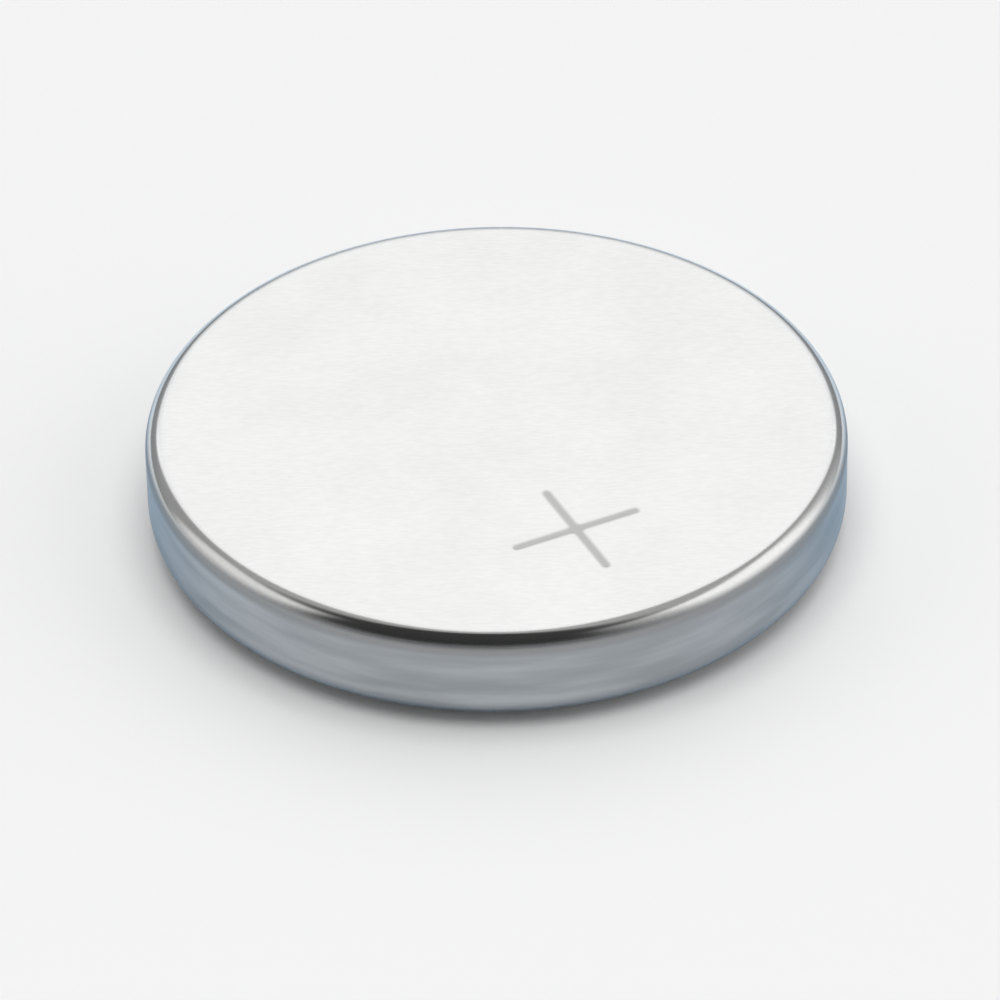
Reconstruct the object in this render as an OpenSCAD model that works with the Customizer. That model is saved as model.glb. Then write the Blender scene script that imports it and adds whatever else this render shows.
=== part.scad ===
// Lithium coin cell, lying on its negative contact with the positive face up.
// A drawn steel can is rolled in over a plastic seal and the skirt of a pressed steel cap.
// Between them lie a lithium disc, a separator, a manganese dioxide tablet and its collector.
// Millimetres. The origin is the middle of the negative contact face.

/* [Cell] */
// Outside diameter of the can
cell_d = 10; // [9.8:0.1:12.5]
// Height from the negative contact face to the positive face
cell_h = 1.6; // [1.4:0.05:2.5]
// How far the negative contact face stands proud of the rolled lip
contact_rise = 0.12; // [0.06:0.02:0.2]
// Play left on the pressed faces of the seal
fit_gap = 0.01; // [0.005:0.005:0.02]

/* [Positive can] */
// Thickness of the can's sheet
can_t = 0.2; // [0.15:0.01:0.25]
// Inside radius of the drawn corner round the positive face
can_corner_r = 0.08; // [0.03:0.01:0.15]
// Inside radius of the lip where it is rolled in
crimp_r = 0.2; // [0.12:0.02:0.26]
// Width of the ring of seal that shows between the lip and the cap's step
lip_gap = 0.25; // [0.18:0.01:0.3]

/* [Negative cap] */
// Thickness of the cap's sheet
cap_t = 0.2; // [0.15:0.01:0.25]
// Width of the cap's shoulder, from its step to the outside of its skirt
cap_shoulder_w = 0.45; // [0.38:0.01:0.8]
// Inside radius of the cap's outward bends
cap_bend_r = 0.05; // [0.02:0.01:0.08]
// Radius in the root of the cap's step
cap_root_r = 0.06; // [0.03:0.01:0.08]

/* [Seal] */
// Thickness of the seal between the can's wall and the cap's skirt
seal_wall = 0.28; // [0.2:0.02:0.3]
// Thickness of the seal where the lip pinches it on the cap's shoulder
seal_pinch = 0.08; // [0.05:0.01:0.16]
// Thickness of the seal under the edge of the cap's skirt
seal_floor = 0.2; // [0.12:0.02:0.3]
// Thickness of the seal's hook inside the cap's skirt
seal_hook_t = 0.24; // [0.12:0.02:0.3]
// Length of the seal's hook along the inside of the cap's skirt
seal_hook_h = 0.2; // [0.08:0.02:0.3]
// How far the seal swells out between the lip and the cap's step
seal_bead_h = 0.08; // [0.04:0.01:0.12]
// Rounding of that swelling
seal_bead_r = 0.06; // [0.03:0.01:0.08]
// Gap between the seal's free edge and the cap's step
seal_bead_gap = 0.04; // [0.02:0.01:0.06]

/* [Lithium disc] */
// Thickness of the lithium disc
anode_t = 0.28; // [0.16:0.02:0.34]
// Gap round the lithium disc in the cap
anode_gap = 0.1; // [0.08:0.01:0.3]

/* [Separator] */
// Thickness of the separator
separator_t = 0.1; // [0.06:0.01:0.14]
// Height of the separator's turned-up wall over all
separator_h = 0.42; // [0.2:0.02:0.46]
// Inside radius where the separator turns up
separator_bend_r = 0.05; // [0.02:0.01:0.08]
// Gap between the separator's wall and the cap
separator_gap = 0.03; // [0.01:0.01:0.06]

/* [Tablet] */
// Gap between the tablet and the separator's wall
tablet_gap = 0.03; // [0.01:0.01:0.08]
// Chamfer on the tablet's edges
tablet_chamfer = 0.06; // [0.05:0.01:0.12]

/* [Collector] */
// Thickness of the expanded metal
collector_t = 0.08; // [0.05:0.01:0.12]
// How far the collector's rim keeps inside the tablet's
collector_inset = 0.1; // [0.06:0.02:0.3]
// Mesh pitch along the long way of the diamonds
mesh_long = 1.1; // [0.9:0.05:1.4]
// Mesh pitch along the short way of the diamonds
mesh_short = 0.66; // [0.56:0.02:0.8]
// Width of the mesh's strands
strand_w = 0.12; // [0.1:0.01:0.16]
// Width of the plain rim round the mesh
mesh_rim_w = 0.12; // [0.06:0.02:0.3]

/* [Hidden] */
$fn = 144;

// Overlap of cuts that run out of a section
past = 0.1;

// The can: its outside, the lip's two faces, and the floor of the room inside
can_r = cell_d / 2;
lip_z = contact_rise;
lip_top_z = lip_z + can_t;
can_floor_z = cell_h - can_t;

// The cap: its shoulder lies under the lip, and its skirt stands on the seal's floor
shoulder_z = lip_top_z + seal_pinch + 2 * fit_gap;
skirt_r = can_r - can_t - seal_wall - 2 * fit_gap;
skirt_end_z = can_floor_z - seal_floor - 2 * fit_gap;
cap_step_r = skirt_r - cap_shoulder_w;
lip_edge_r = cap_step_r + lip_gap;

// The stack, from the cap up to the can
anode_z = cap_t;
anode_r = cap_step_r - cap_t - anode_gap;
separator_z = anode_z + anode_t;
separator_r = cap_step_r - cap_t - separator_gap;
tablet_z = separator_z + separator_t;
tablet_r = separator_r - separator_t - tablet_gap;
collector_z = can_floor_z - collector_t;
collector_r = tablet_r - collector_inset;

// The sliver between a square corner at the origin and the arc that rounds it
module corner(r) {
    difference() {
        square(r);
        translate([r, r]) circle(r);
    }
}

// Half section of a plain round body, with its lower and upper outside edges rounded
module round_body(r, low_z, high_z, low_r, high_r) {
    difference() {
        translate([0, low_z]) square([r, high_z - low_z]);
        if (low_r > 0) translate([r, low_z]) mirror([1, 0]) corner(low_r);
        if (high_r > 0) translate([r, high_z]) rotate(180) corner(high_r);
    }
}

// Half section of the room inside the can, drawn in by some play on every side
module can_room(play) {
    round_body(
        can_r - can_t - play, lip_top_z + play, can_floor_z - play,
        crimp_r - play, can_corner_r - play
    );
}

// Half section of the cap's outside, filled to the axis and grown by some play
module cap_outside(play) {
    bend_r = cap_bend_r + cap_t + play;
    round_body(cap_step_r + play, -play, skirt_end_z + play, bend_r, 0);
    round_body(skirt_r + play, shoulder_z - play, skirt_end_z + play, bend_r, 0);
    translate([cap_step_r + play, shoulder_z - play]) mirror([0, 1]) corner(cap_root_r - play);
}

// Half section of the room inside the cap
module cap_room() {
    open_z = skirt_end_z + past;
    round_body(cap_step_r - cap_t, cap_t, open_z, cap_bend_r, 0);
    round_body(skirt_r - cap_t, shoulder_z + cap_t, open_z, cap_bend_r, 0);
    translate([cap_step_r - cap_t, shoulder_z + cap_t]) mirror([0, 1]) corner(cap_root_r + cap_t);
}

// Flat positive face, drawn corner, wall, and the lip rolled in over the seal
module positive_can() {
    color([0.87, 0.87, 0.86])
    rotate_extrude() difference() {
        round_body(can_r, lip_z, cell_h, crimp_r + can_t, can_corner_r + can_t);
        can_room(0);
        translate([0, lip_z - past]) square([lip_edge_r, can_t + 2 * past]);
    }
}

// Top hat of even sheet: contact face, step, shoulder and skirt
module negative_cap() {
    color([0.8, 0.8, 0.79])
    rotate_extrude() difference() {
        cap_outside(0);
        cap_room();
    }
}

// Edge of the seal that swells out between the lip and the cap's step
module seal_bead() {
    bead_in_r = cap_step_r + seal_bead_gap;
    bead_out_r = lip_edge_r - fit_gap;
    bead_z = lip_top_z - seal_bead_h;
    difference() {
        translate([bead_in_r, bead_z]) square([bead_out_r - bead_in_r, shoulder_z - bead_z]);
        translate([bead_in_r, bead_z]) corner(seal_bead_r);
        translate([bead_out_r, bead_z]) mirror([1, 0]) corner(seal_bead_r);
    }
}

// J section: wall, floor under the cap's skirt, hook inside it, and a pinched edge under the lip
module gasket() {
    hook_out_r = skirt_r - cap_t - fit_gap;
    hook_in_r = hook_out_r - seal_hook_t;
    hook_z = skirt_end_z - seal_hook_h;
    floor_top_z = can_floor_z - fit_gap;
    color([0.25, 0.26, 0.28])
    rotate_extrude() {
        difference() {
            union() {
                difference() {
                    can_room(fit_gap);
                    square([lip_edge_r - fit_gap, shoulder_z]);
                }
                seal_bead();
            }
            cap_outside(fit_gap);
            square([hook_in_r, cell_h]);
        }
        translate([hook_in_r, hook_z]) square([hook_out_r - hook_in_r, floor_top_z - hook_z]);
    }
}

// Disc punched from lithium foil and pressed into the cap
module lithium_anode() {
    color([0.72, 0.72, 0.71])
    translate([0, 0, anode_z]) cylinder(r = anode_r, h = anode_t);
}

// Shallow cup of non-woven plastic between the lithium and the tablet
module separator() {
    color([0.95, 0.95, 0.92])
    rotate_extrude() difference() {
        round_body(
            separator_r, separator_z, separator_z + separator_h,
            separator_bend_r + separator_t, 0
        );
        round_body(
            separator_r - separator_t, tablet_z, separator_z + separator_h + past,
            separator_bend_r, 0
        );
    }
}

// Pressed tablet with chamfered edges
module cathode_pellet() {
    color([0.14, 0.14, 0.15])
    rotate_extrude() polygon([
        [0, tablet_z],
        [tablet_r - tablet_chamfer, tablet_z],
        [tablet_r, tablet_z + tablet_chamfer],
        [tablet_r, collector_z - tablet_chamfer],
        [tablet_r - tablet_chamfer, collector_z],
        [0, collector_z]
    ]);
}

// Disc of expanded metal: staggered diamonds, with strands of one width and a plain rim
module current_collector() {
    half = [mesh_long, mesh_short] / 2;
    hole = half * (1 - strand_w * norm(half) / (2 * half.x * half.y));
    columns = ceil(collector_r / mesh_long);
    rows = ceil(2 * collector_r / mesh_short);
    color([0.6, 0.6, 0.6])
    translate([0, 0, collector_z]) difference() {
        cylinder(r = collector_r, h = collector_t);
        for (row = [-rows:rows], column = [-columns:columns]) {
            place = [column * mesh_long + (row % 2) * half.x, row * half.y];
            if (norm([abs(place.x) + hole.x, place.y]) < collector_r - mesh_rim_w)
                translate([place.x, place.y, -past])
                linear_extrude(collector_t + 2 * past)
                polygon([[hole.x, 0], [0, hole.y], [-hole.x, 0], [0, -hole.y]]);
        }
    }
}

positive_can();
negative_cap();
gasket();
lithium_anode();
separator();
cathode_pellet();
current_collector();
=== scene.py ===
import math

import bmesh
import bpy
from mathutils import Matrix, Vector


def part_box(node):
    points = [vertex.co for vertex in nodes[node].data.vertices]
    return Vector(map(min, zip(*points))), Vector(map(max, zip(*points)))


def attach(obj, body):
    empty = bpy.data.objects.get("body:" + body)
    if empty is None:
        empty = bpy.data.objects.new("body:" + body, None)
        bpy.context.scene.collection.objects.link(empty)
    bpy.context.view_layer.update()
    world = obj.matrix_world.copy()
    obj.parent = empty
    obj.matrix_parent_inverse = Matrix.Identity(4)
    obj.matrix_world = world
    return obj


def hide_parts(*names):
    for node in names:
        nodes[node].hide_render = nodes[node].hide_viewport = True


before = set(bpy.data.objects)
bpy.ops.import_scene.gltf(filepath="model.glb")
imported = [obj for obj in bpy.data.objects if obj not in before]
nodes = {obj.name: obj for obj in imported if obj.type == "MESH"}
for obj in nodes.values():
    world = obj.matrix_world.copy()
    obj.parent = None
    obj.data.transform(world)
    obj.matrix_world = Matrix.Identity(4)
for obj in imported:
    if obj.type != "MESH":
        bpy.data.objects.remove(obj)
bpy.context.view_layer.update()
scene = bpy.context.scene
scene.view_settings.view_transform = "Standard"

# The camera looks down on the cell from in front of it, from ten cell diameters away.
# It aims a little below the middle of the positive face and leans to the right.
camera_distance = 0.1
camera_elevation = math.radians(36.6)
camera_lean = math.radians(-0.92)
camera_lens = 253.15
camera_sensor = 36
camera_near = 0.001
camera_far = 20
frame_pixels = 1000
face_pixel = (497.4, 420.9)

face_centre = Vector((0, 0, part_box("positive_can")[1].z))
towards_camera = Vector((0, -math.cos(camera_elevation), math.sin(camera_elevation)))
pixel_angle = camera_sensor / camera_lens / frame_pixels
aim = (
    Matrix.Rotation(math.pi / 2 - camera_elevation, 4, "X")
    @ Matrix.Rotation(math.atan((face_pixel[1] - frame_pixels / 2) * pixel_angle), 4, "X")
    @ Matrix.Rotation(math.atan((face_pixel[0] - frame_pixels / 2) * pixel_angle), 4, "Y")
    @ Matrix.Rotation(camera_lean, 4, "Z")
)
camera_data = bpy.data.cameras.new("camera")
camera_data.sensor_width = camera_sensor
camera_data.lens = camera_lens
camera_data.clip_start = camera_near
camera_data.clip_end = camera_far
camera = bpy.data.objects.new("camera", camera_data)
camera.matrix_world = Matrix.Translation(face_centre + camera_distance * towards_camera) @ aim
scene.collection.objects.link(camera)
scene.camera = camera

# Positive can: one cup drawn from nickel-plated steel sheet, its open end rolled in over the seal.
# The flat face is satin and carries the pressed polarity sign. The corner and the wall are painted
# darker than the face, as painted shade.
# Sizes are in millimetres.
mm = 0.001
turns = 384
can_d = 10
can_height = 1.6
can_sheet = 0.2
can_foot = 0.12
can_corner = 0.28
can_crimp = 0.4
can_lip_edge = 4.3
can_lip_round = 0.02
face_guard = 0.03
sign_place = (1.09, -2.54)
sign_turn = math.radians(25.7)
sign_length = 2.03
sign_stroke = 0.19
sign_fillet = 0.035
sign_depth = 0.012
sign_guard = 0.015
groove_wall = 0.9
groove_steps = 10

can_r = can_d / 2
inner_crimp = can_crimp - can_sheet
inner_corner = can_corner - can_sheet
crimp_r = can_r - can_crimp
corner_r = can_r - can_corner
crimp_z = can_foot + can_crimp
corner_z = can_height - can_corner
lip_top = can_foot + can_sheet
lip_round_r = can_lip_edge + can_lip_round


def bend(centre_r, centre_z, radius, start, end, steps=24):
    """Points along an arc of a half section, from one angle in degrees to another."""
    angles = [math.radians(start + (end - start) * i / steps) for i in range(steps + 1)]
    return [(centre_r + radius * math.cos(a), centre_z + radius * math.sin(a)) for a in angles]


def stitch(shape, ring, following):
    """Joins two rings of as many corners with faces, and returns the faces."""
    faces = []
    for i in range(len(ring)):
        j = (i + 1) % len(ring)
        corners = [ring[i], ring[j], following[j], following[i]]
        faces.append(shape.faces.new(list(dict.fromkeys(corners))))
    return faces


def turn(shape, section):
    """Turns a half section of (radius, height) points about the axis, and returns its rings."""
    rings = []
    for radius, height in section:
        if radius == 0:
            rings.append([shape.verts.new((0, 0, height))] * turns)
            continue
        angles = [math.tau * i / turns for i in range(turns)]
        rings.append([
            shape.verts.new((radius * math.cos(a), radius * math.sin(a), height)) for a in angles
        ])
    for ring, following in zip(rings, rings[1:]):
        stitch(shape, ring, following)
    return rings


def sign_outline(inward):
    """Outline of the sign drawn in by some distance: round-ended arms with filleted corners."""
    half = sign_stroke / 2
    root = half + sign_fillet
    quarter = bend(sign_length / 2 - half, 0, half - inward, -90, 90, 20)
    quarter += bend(root, root, sign_fillet + inward, 270, 180, 8)
    points = []
    for arm in range(4):
        angle = sign_turn + arm * math.pi / 2
        for x, y in quarter:
            points.append((
                sign_place[0] + x * math.cos(angle) - y * math.sin(angle),
                sign_place[1] + x * math.sin(angle) + y * math.cos(angle),
            ))
    return points


def edges_round(shape, rings):
    """The edges that run round each of the rings."""
    edges = []
    for ring in rings:
        edges += [
            shape.edges.get((a, b)) or shape.edges.new((a, b))
            for a, b in zip(ring, ring[1:] + ring[:1])
        ]
    return edges


def fill(shape, rings):
    """Fills the flat between the rings, and returns its faces."""
    made = bmesh.ops.triangle_fill(shape, use_beauty=True, edges=edges_round(shape, rings))
    return [part for part in made["geom"] if isinstance(part, bmesh.types.BMFace)]


def finish_piece(shape, name, materials, node):
    """Makes a piece of the drawn shape, in metres, that stands for a CAD node."""
    bmesh.ops.recalc_face_normals(shape, faces=shape.faces)
    mesh = bpy.data.meshes.new(name)
    shape.to_mesh(mesh)
    shape.free()
    mesh.transform(Matrix.Scale(mm, 4))
    mesh.shade_smooth()
    for material in materials:
        mesh.materials.append(material)
    piece = bpy.data.objects.new(name, mesh)
    scene.collection.objects.link(piece)
    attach(piece, "root")
    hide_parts(node)
    return piece


class Socket:
    """An output in a node tree. Arithmetic on it adds Math nodes to the same tree."""

    def __init__(self, tree, output=None):
        self.tree = tree
        self.output = output

    def add(self, kind, settings=None, inputs=None, output=0):
        """Adds a node, with its settings made first and then the values or links of its sockets."""
        node = self.tree.nodes.new(kind)
        for name, value in (settings or {}).items():
            setattr(node, name, value)
        for key, value in (inputs or {}).items():
            if isinstance(value, Socket):
                self.tree.links.new(value.output, node.inputs[key])
            else:
                node.inputs[key].default_value = value
        return Socket(self.tree, node.outputs[output] if node.outputs else None)

    def maths(self, operation, *values):
        """Adds a Math node, with its operation and its values or links."""
        return self.add("ShaderNodeMath", {"operation": operation}, dict(enumerate(values)))

    def __add__(self, other):
        return self.maths("ADD", self, other)

    def __sub__(self, other):
        return self.maths("SUBTRACT", self, other)

    def __rsub__(self, other):
        return self.maths("SUBTRACT", other, self)

    def __mul__(self, other):
        return self.maths("MULTIPLY", self, other)

    def __truediv__(self, other):
        return self.maths("DIVIDE", self, other)

    def __pow__(self, other):
        return self.maths("POWER", self, other)

    __radd__ = __add__
    __rmul__ = __mul__

    def larger(self, other):
        """The larger of this value and another."""
        return self.maths("MAXIMUM", self, other)

    def ramp(self, low, high, out_low=0, out_high=1):
        """Runs smoothly from out_low to out_high while this value runs from low to high."""
        return self.add(
            "ShaderNodeMapRange", {"interpolation_type": "SMOOTHSTEP"},
            {"Value": self, 1: low, 2: high, 3: out_low, 4: out_high}
        )

    def between(self, dull, bright):
        """Mixes two colours by this value."""
        return self.add(
            "ShaderNodeMix", {"data_type": "RGBA"},
            {0: self, 6: dull, 7: bright}, output=2
        )

    def noise(self, size, detail=2, stretch=(1, 1, 1), roughness=0.5):
        """Grey noise whose grain is about size millimetres, on the object's own coordinates."""
        place = self.add("ShaderNodeTexCoord", output="Object")
        scaled = self.add(
            "ShaderNodeVectorMath", {"operation": "MULTIPLY"},
            {0: place, 1: [1 / mm / size / along for along in stretch]}
        )
        return self.add(
            "ShaderNodeTexNoise", {},
            {"Vector": scaled, "Scale": 1, "Detail": detail, "Roughness": roughness}
        )

    def place(self, axis):
        """One of the object's own coordinates, in millimetres."""
        where = self.add("ShaderNodeTexCoord", output="Object")
        return self.add("ShaderNodeSeparateXYZ", {}, {0: where}, output=axis) * (1 / mm)

    def bump(self, height, depth, strength):
        """A normal tilted by a height that runs from 0 to 1 over a depth in millimetres."""
        return self.add(
            "ShaderNodeBump", {},
            {"Height": height, "Distance": depth * mm, "Strength": strength}
        )


def surface(name):
    """A new material, with its tree and its shader node."""
    material = bpy.data.materials.new(name)
    material.use_nodes = True
    return material, Socket(material.node_tree), material.node_tree.nodes["Principled BSDF"]


def dress(tree, shader, **sockets):
    """Sets or links the shader's sockets, named with underscores for spaces."""
    for name, value in sockets.items():
        socket = shader.inputs[name.replace("_", " ")]
        if isinstance(value, Socket):
            tree.tree.links.new(value.output, socket)
        else:
            socket.default_value = value


face_pale = (0.87, 0.87, 0.86, 1)
face_dull = (0.79, 0.79, 0.78, 1)
face_tint = (0.84, 0.87, 0.9, 1)
# The wall's two colours are the plating painted darker than the face, as painted shade; the streaks
# between them are a real uneven tone.
wall_shaded_pale = (0.47, 0.5, 0.53, 1)
wall_shaded_dull = (0.34, 0.365, 0.39, 1)
side_tint = (0.54, 0.69, 0.83, 1)
# The corner's colour is painted shade: the lower corner is painted dark, standing in for the dark
# surroundings it reflects.
corner_painted_shade = (0.31, 0.32, 0.33, 1)
lip_pale = (0.74, 0.745, 0.745, 1)
lip_dull = (0.66, 0.665, 0.665, 1)
sign_pale = (0.68, 0.68, 0.66, 1)
sign_dull = (0.54, 0.54, 0.53, 1)
flat_from, flat_full = can_height - 0.02, can_height - 0.004
satin_from, satin_full = can_height - 0.19, can_height - 0.08
# The heights over which the corner's painted shade sets in.
corner_shade_from, corner_shade_full = corner_z - 0.12, corner_z + 0.03
wall_from, wall_full = can_foot + 0.02, can_foot + 0.2


def nickel_plate(name, edge_tint):
    """The can's plating: satin on the face, with painted shade on the corner and the wall, which
    are painted darker; the wall also has a streaky tone.
    """
    plate, tree, shader = surface(name)
    height = tree.place("Z")
    on_flat = height.ramp(flat_from, flat_full)
    on_face = height.ramp(satin_from, satin_full)
    on_corner_shade = height.ramp(corner_shade_from, corner_shade_full)
    on_wall = height.ramp(wall_from, wall_full)
    on_side = 1 - on_face
    cloud = tree.noise(1.6, 3)
    grain = tree.noise(0.035, 2, (5, 1, 1))
    streaks = tree.noise(0.32, 3, (8, 8, 1))
    draw_marks = tree.noise(0.05, 2, (1, 1, 14))
    face_tone = cloud.ramp(0.3, 0.7) * 0.4 + grain.ramp(0.25, 0.75) * 0.6
    face_colour = face_tone.between(face_dull, face_pale)
    wall_shaded_colour = streaks.ramp(0.3, 0.7).between(wall_shaded_dull, wall_shaded_pale)
    lip_colour = grain.ramp(0.25, 0.75).between(lip_dull, lip_pale)
    # Here the side takes painted shade: dark on the corner band and darker than the face on the
    # wall, while the lip keeps the plating's own tone.
    side_colour_and_shade = on_wall.between(lip_colour, on_corner_shade.between(wall_shaded_colour, corner_painted_shade))
    flat_roughness = on_flat * (0.16 + grain * 0.04)
    side_roughness = on_side * (0.14 + streaks * 0.12)
    relief = on_flat * grain + on_side * (draw_marks * 0.5 + streaks * 0.5)
    dress(
        tree, shader,
        Base_Color=on_face.between(side_colour_and_shade, face_colour),
        Metallic=1 - on_flat * (0.26 + grain * 0.08),
        Roughness=flat_roughness + 0.14 + side_roughness,
        Specular_Tint=edge_tint,
        Normal=tree.bump(relief, 0.002, 0.5),
    )
    return plate


# The side material carries the painted shade of the corner and the wall.
side_plate = nickel_plate("nickel_side_painted_shade", side_tint)
face_plate = nickel_plate("satin_nickel_face", face_tint)

pressed, tree, shader = surface("pressed_sign")
grit = tree.noise(0.03, 3)
sunk = 1 - tree.place("Z").ramp(can_height - sign_depth * 1.1, can_height + sign_depth * 0.1)
dress(
    tree, shader,
    Base_Color=sunk.between(face_pale, grit.between(sign_dull, sign_pale)),
    Metallic=0.7,
    Roughness=0.34 + sunk * 0.14 + grit * 0.1,
    Specular_Tint=face_tint,
    Normal=tree.bump(grit, 0.004, 0.6),
)

can_section = [(corner_r - face_guard, can_height)]
can_section += bend(corner_r, corner_z, can_corner, 90, 0)
can_section += bend(crimp_r, crimp_z, can_crimp, 0, -90)
can_section += bend(lip_round_r, can_foot + can_lip_round, can_lip_round, 270, 180, 5)
can_section += bend(lip_round_r, lip_top - can_lip_round, can_lip_round, 180, 90, 5)
can_section += bend(crimp_r, crimp_z, inner_crimp, -90, 0, 12)
can_section += bend(corner_r, corner_z, inner_corner, 0, 90, 8)
can_section += [(0, can_height - can_sheet)]
shape = bmesh.new()
rim = turn(shape, can_section)[0]

groove = [(-sign_guard, 0)]
for step in range(groove_steps + 1):
    inward = sign_stroke / 2 * groove_wall * step / groove_steps
    groove.append((inward, sign_depth * math.sin(math.pi / 2 * step / groove_steps) ** 2))
sign_rings = [
    [shape.verts.new((x, y, can_height - depth)) for x, y in sign_outline(inward)]
    for inward, depth in groove
]
stitch(shape, sign_rings[0], sign_rings[1])
sign_faces = []
for ring, following in zip(sign_rings[1:], sign_rings[2:]):
    sign_faces += stitch(shape, ring, following)
for part in fill(shape, [rim, sign_rings[0]]):
    part.material_index = 1
for part in sign_faces + fill(shape, [sign_rings[-1]]):
    part.material_index = 2
can = finish_piece(shape, "steel_can", [side_plate, face_plate, pressed], "positive_can")

# Seal: one moulded ring of dark polypropylene, with the cap's skirt standing in its J section.
# The rolled lip pinches its edge on the cap's shoulder, and the edge swells out beside the step.
seal_play = 0.01
seal_wall = 0.28
seal_pinch = 0.08
seal_floor = 0.2
seal_hook = 0.24
seal_hook_height = 0.2
seal_bead = 0.08
seal_bead_round = 0.06
seal_bead_gap = 0.04
cap_sheet = 0.2
cap_shoulder = 0.45
cap_bend = 0.05
cap_root = 0.06
crisp_angle = math.radians(40)
weld_reach = 0.0001
plastic_pale = (0.05, 0.052, 0.058, 1)
plastic_dull = (0.03, 0.032, 0.036, 1)

shoulder_z = lip_top + seal_pinch + 2 * seal_play
skirt_r = can_r - can_sheet - seal_wall - 2 * seal_play
step_r = skirt_r - cap_shoulder
floor_z = can_height - can_sheet
skirt_end = floor_z - seal_floor - 2 * seal_play
seal_low = lip_top + seal_play
bead_in = step_r + seal_bead_gap
bead_out = can_lip_edge - seal_play
bead_z = lip_top - seal_bead
bead_round_z = bead_z + seal_bead_round
hook_out = skirt_r - cap_sheet - seal_play
hook_in = hook_out - seal_hook
hook_z = skirt_end - seal_hook_height
seat_r = skirt_r + seal_play
seat_z = shoulder_z - seal_play
seat_bend = cap_bend + cap_sheet + seal_play

moulded, tree, shader = surface("moulded_polypropylene")
haze = tree.noise(0.4, 3)
fine = tree.noise(0.05, 2)
dress(
    tree, shader,
    Base_Color=haze.ramp(0.3, 0.7).between(plastic_dull, plastic_pale),
    Roughness=0.42 + fine * 0.16,
    Normal=tree.bump(fine, 0.003, 0.5),
)

seal_section = bend(crimp_r, crimp_z, inner_crimp - seal_play, -90, 0, 12)
seal_section += bend(corner_r, corner_z, inner_corner - seal_play, 0, 90, 8)
seal_section += [(hook_in, floor_z - seal_play), (hook_in, hook_z)]
seal_section += [(hook_out, hook_z), (hook_out, skirt_end + seal_play)]
seal_section += [(seat_r, skirt_end + seal_play)]
seal_section += bend(seat_r - seat_bend, seat_z + seat_bend, seat_bend, 0, -90, 10)
seal_section += [(bead_in, seat_z)]
seal_section += bend(bead_in + seal_bead_round, bead_round_z, seal_bead_round, 180, 270, 8)
seal_section += bend(bead_out - seal_bead_round, bead_round_z, seal_bead_round, 270, 360, 8)
seal_section += [(bead_out, seal_low)]
seal_section += seal_section[:1]
shape = bmesh.new()
turn(shape, seal_section)
bmesh.ops.remove_doubles(shape, verts=shape.verts, dist=weld_reach)
seal = finish_piece(shape, "seal_ring", [moulded], "gasket")
seal.data.set_sharp_from_angle(angle=crisp_angle)

# Negative cap: a top hat pressed from stainless sheet, whose flat crown is the negative contact.
# Its shoulder lies under the rolled lip, and its skirt stands in the seal's channel.
cap_pale = (0.79, 0.79, 0.78, 1)
cap_dull = (0.69, 0.69, 0.68, 1)

outer_bend = cap_bend + cap_sheet
crown_r = step_r - outer_bend
root_r = step_r + cap_root
root_z = shoulder_z - cap_root
shoulder_r = skirt_r - outer_bend
shoulder_bend_z = shoulder_z + outer_bend

cap_satin, tree, shader = surface("satin_stainless_cap")
cloud = tree.noise(1.8, 3)
grain = tree.noise(0.035, 2, (1, 6, 1))
cap_tone = cloud.ramp(0.3, 0.7) * 0.35 + grain.ramp(0.25, 0.75) * 0.65
dress(
    tree, shader,
    Base_Color=cap_tone.between(cap_dull, cap_pale),
    Metallic=0.8,
    Roughness=0.26 + grain * 0.12,
    Normal=tree.bump(grain, 0.003, 0.6),
)

cap_section = [(0, 0), (crown_r - face_guard, 0)]
cap_section += bend(crown_r, outer_bend, outer_bend, -90, 0, 20)
cap_section += bend(root_r, root_z, cap_root, 180, 90, 8)
cap_section += bend(shoulder_r, shoulder_bend_z, outer_bend, -90, 0, 12)
cap_section += [(skirt_r, skirt_end), (skirt_r - cap_sheet, skirt_end)]
cap_section += bend(shoulder_r, shoulder_bend_z, cap_bend, 0, -90, 6)
cap_section += bend(root_r, root_z, cap_root + cap_sheet, 90, 180, 10)
cap_section += bend(crown_r, outer_bend, cap_bend, 0, -90, 6)
cap_section += [(0, cap_sheet)]
shape = bmesh.new()
turn(shape, cap_section)
cap = finish_piece(shape, "steel_cap", [cap_satin], "negative_cap")
cap.data.set_sharp_from_angle(angle=crisp_angle)

# Lithium disc: punched from soft metal foil in dry air, and pressed into the cap.
# It is dull silver, with a thin grey tarnish in clouds and faint rolling lines.
lithium_pale = (0.72, 0.72, 0.71, 1)
lithium_dull = (0.5, 0.5, 0.5, 1)

lithium, tree, shader = surface("lithium_foil")
tarnish = tree.noise(0.9, 4)
rolling = tree.noise(0.08, 2, (8, 1, 1))
dress(
    tree, shader,
    Base_Color=tarnish.ramp(0.35, 0.65).between(lithium_dull, lithium_pale),
    Metallic=1.0,
    Roughness=0.45 + tarnish * 0.15,
    Normal=tree.bump(rolling, 0.006, 0.6),
)
nodes["lithium_anode"].material_slots[0].material = lithium

# Separator: a shallow cup pressed from a web of fine polypropylene fibres.
# It keeps lithium and tablet apart, and its turned-up wall keeps the tablet off the cap.
fibre_pale = (0.93, 0.93, 0.9, 1)
fibre_dull = (0.74, 0.74, 0.71, 1)

felt, tree, shader = surface("fibre_web")
fibre = tree.noise(0.03, 3, (9, 1, 1)).larger(tree.noise(0.03, 3, (1, 9, 1)))
dress(
    tree, shader,
    Base_Color=fibre.ramp(0.4, 0.75).between(fibre_dull, fibre_pale),
    Roughness=0.85,
    Normal=tree.bump(fibre, 0.01, 0.7),
)
nodes["separator"].material_slots[0].material = felt

# Tablet: manganese dioxide powder with a little carbon, pressed in a die to a firm black disc.
# Its dark surface is finely speckled with paler grains.
powder_pale = (0.08, 0.078, 0.08, 1)
powder_dull = (0.018, 0.018, 0.02, 1)

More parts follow.
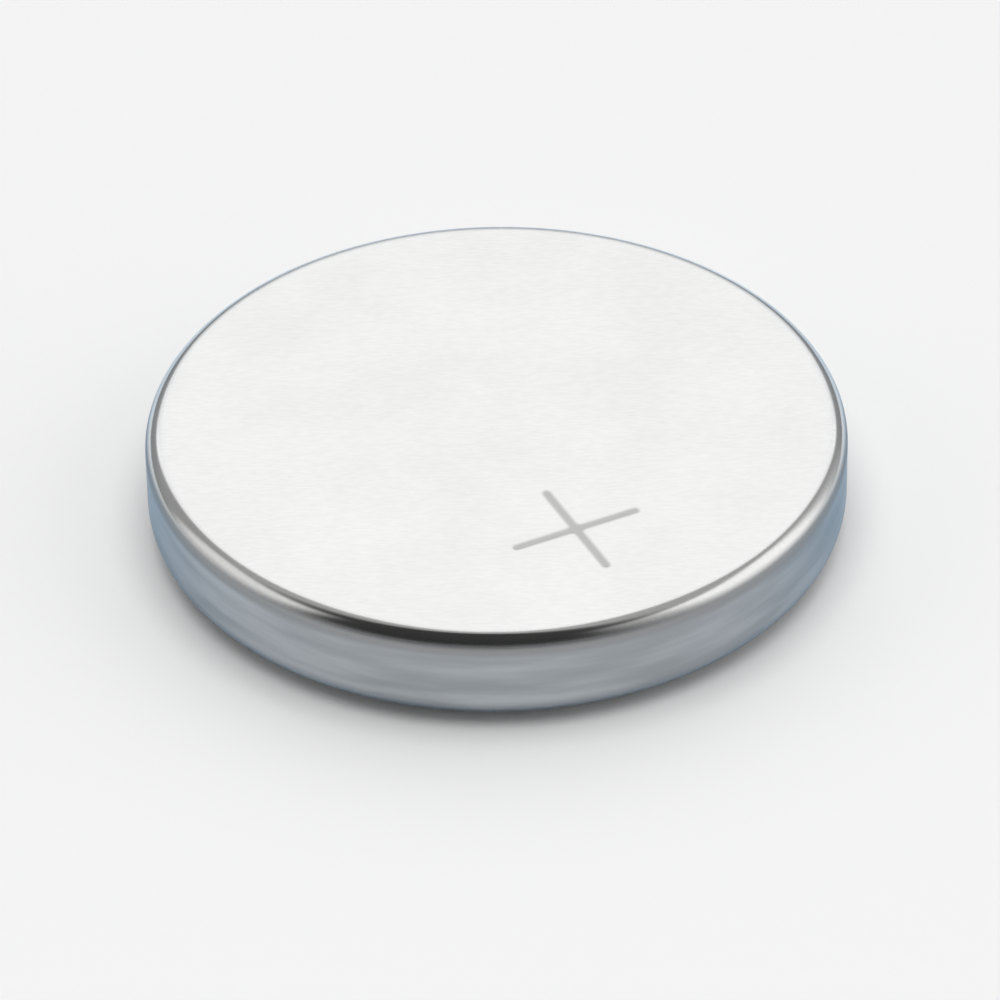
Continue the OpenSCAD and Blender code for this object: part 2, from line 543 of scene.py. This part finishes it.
powder, tree, shader = surface("pressed_black_powder")
grains = tree.noise(0.06, 4, roughness=0.65)
dress(
    tree, shader,
    Base_Color=grains.ramp(0.4, 0.75).between(powder_dull, powder_pale),
    Roughness=0.75 + grains * 0.2,
    Normal=tree.bump(grains, 0.012, 0.8),
)
nodes["cathode_pellet"].material_slots[0].material = powder

# Collector: a disc of expanded stainless steel, slit and stretched to diamonds.
# It lies between the tablet and the can and takes the tablet's current to it.
strand_pale = (0.66, 0.66, 0.65, 1)
strand_dull = (0.5, 0.5, 0.5, 1)

strand, tree, shader = surface("expanded_steel")
wear = tree.noise(0.12, 3)
dress(
    tree, shader,
    Base_Color=wear.between(strand_dull, strand_pale),
    Metallic=1.0,
    Roughness=0.3 + wear * 0.2,
    Normal=tree.bump(wear, 0.006, 0.5),
)
nodes["current_collector"].material_slots[0].material = strand

# Floor: a plain pale sheet that runs out of sight. Its size is in metres.
floor_size = 4
floor_colour = (0.9, 0.9, 0.9, 1)

paper, tree, shader = surface("pale_floor")
dress(tree, shader, Base_Color=floor_colour, Roughness=1.0, Specular_IOR_Level=0.0)
shape = bmesh.new()
bmesh.ops.create_grid(shape, x_segments=1, y_segments=1, size=floor_size / 2)
floor_mesh = bpy.data.meshes.new("floor")
shape.to_mesh(floor_mesh)
shape.free()
floor_mesh.materials.append(paper)
floor = bpy.data.objects.new("floor", floor_mesh)
scene.collection.objects.link(floor)

# Studio: a broad pale wall behind, a bright screen on the right and a weaker one on the left.
# Overhead and in front it is dim, with a dark band where the near edge's reflection falls.
# These are seen in the metal. A soft lamp overhead lights the floor and is not seen itself.
wall_level = 1.22
right_level = 0.52
right_core_level = 0.54
left_level = 0.78
dim_level = (0.32, 0.4)
dark_share = 0.9
gap_share = 0.12
pole_guard = 0.0001

studio = bpy.data.worlds.new("studio")
scene.world = studio
studio.use_nodes = True
studio.node_tree.nodes.clear()
tree = Socket(studio.node_tree)
direction = tree.add("ShaderNodeTexCoord", output="Generated")
side = tree.add("ShaderNodeSeparateXYZ", {}, {0: direction}, output="X")
depth = tree.add("ShaderNodeSeparateXYZ", {}, {0: direction}, output="Y")
rise = tree.add("ShaderNodeSeparateXYZ", {}, {0: direction}, output="Z")
reach = (side ** 2 + depth ** 2 + pole_guard) ** 0.5
right = side / reach
back = depth / reach
left = 0 - right
wall_glow = back.ramp(0.72, 0.88) * rise.ramp(0.31, 0.46) * depth.ramp(0.02, 0.3) * wall_level
right_screen = right.ramp(0.4, 0.9, 0, right_level) + right.ramp(0.8, 0.97, 0, right_core_level)
right_glow = right_screen * (1 - rise.ramp(0.7, 0.9))
left_glow = left.ramp(0.82, 0.97) * (1 - rise.ramp(0.6, 0.88)) * left_level
dark_band = (left.ramp(0, 1, 0, 0.5) - back).ramp(0.1, 0.8) * rise.ramp(0.05, 0.45)
low_gap = back.ramp(0.2, 0.7) * (1 - rise.ramp(0.2, 0.36))
dim_glow = rise.ramp(0.5, 1, *dim_level)
front_glow = dim_glow * (1 - dark_band * dark_share) * (1 - low_gap * gap_share)
radiance = wall_glow.larger(right_glow).larger(left_glow).larger(front_glow)
background = tree.add("ShaderNodeBackground", {}, {"Color": (1, 1, 1, 1), "Strength": radiance})
tree.add("ShaderNodeOutputWorld", {}, {"Surface": background})

lamp_size = 0.5
lamp_energy = 1.63
lamp_place = (0.0, -0.05, 0.5)

lamp_data = bpy.data.lights.new("overhead_lamp", "AREA")
lamp_data.shape = "DISK"
lamp_data.size = lamp_size
lamp_data.energy = lamp_energy
lamp = bpy.data.objects.new("overhead_lamp", lamp_data)
lamp.location = lamp_place
lamp.rotation_euler = (Vector((0, 0, 0)) - lamp.location).to_track_quat("-Z", "Y").to_euler()
lamp.visible_glossy = False
lamp.visible_camera = False
scene.collection.objects.link(lamp)
